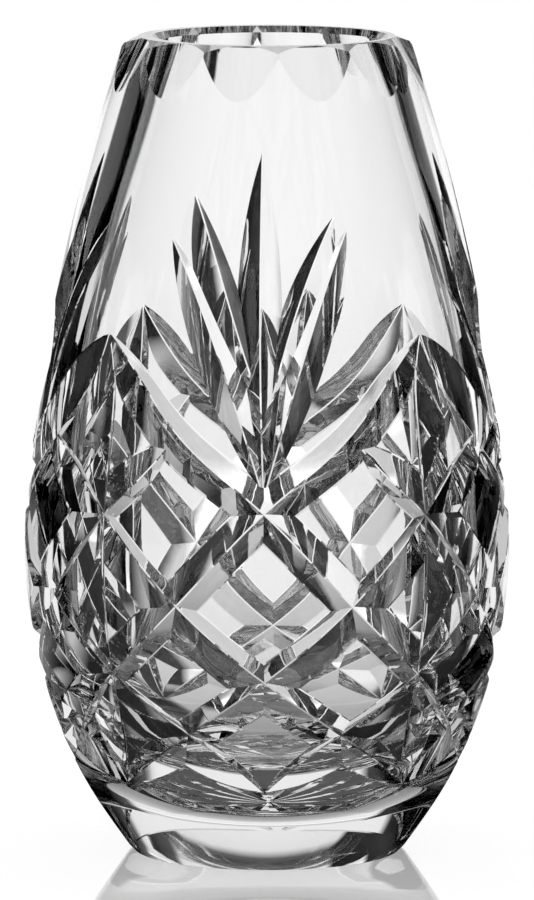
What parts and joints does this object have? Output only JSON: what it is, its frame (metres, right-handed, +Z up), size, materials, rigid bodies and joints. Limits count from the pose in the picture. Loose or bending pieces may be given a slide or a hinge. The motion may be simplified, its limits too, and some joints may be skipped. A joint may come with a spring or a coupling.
{
  "type": "bud vase",
  "caption": "Thick cut-crystal bud vase: egg-shaped body with a diamond band, fan cuts above V-shaped mitres, a plain shoulder, a fluted rim and a heavy clear foot.",
  "frame": {"origin": "middle of the flat foot, on the surface the vase stands on", "axes": "+Z up along the axis of the vase, out of the mouth; -Y towards the front panel, which has a fan; +X to the right of it"},
  "size_m": [0.089, 0.089, 0.15],
  "materials": {
    "clear_crystal": "polished clear lead crystal, with wheel-cut grooves polished as bright as the plain glass"
  },
  "bodies": {
    "root": {"cut_crystal_body": "clear_crystal"}
  },
  "joints": []
}
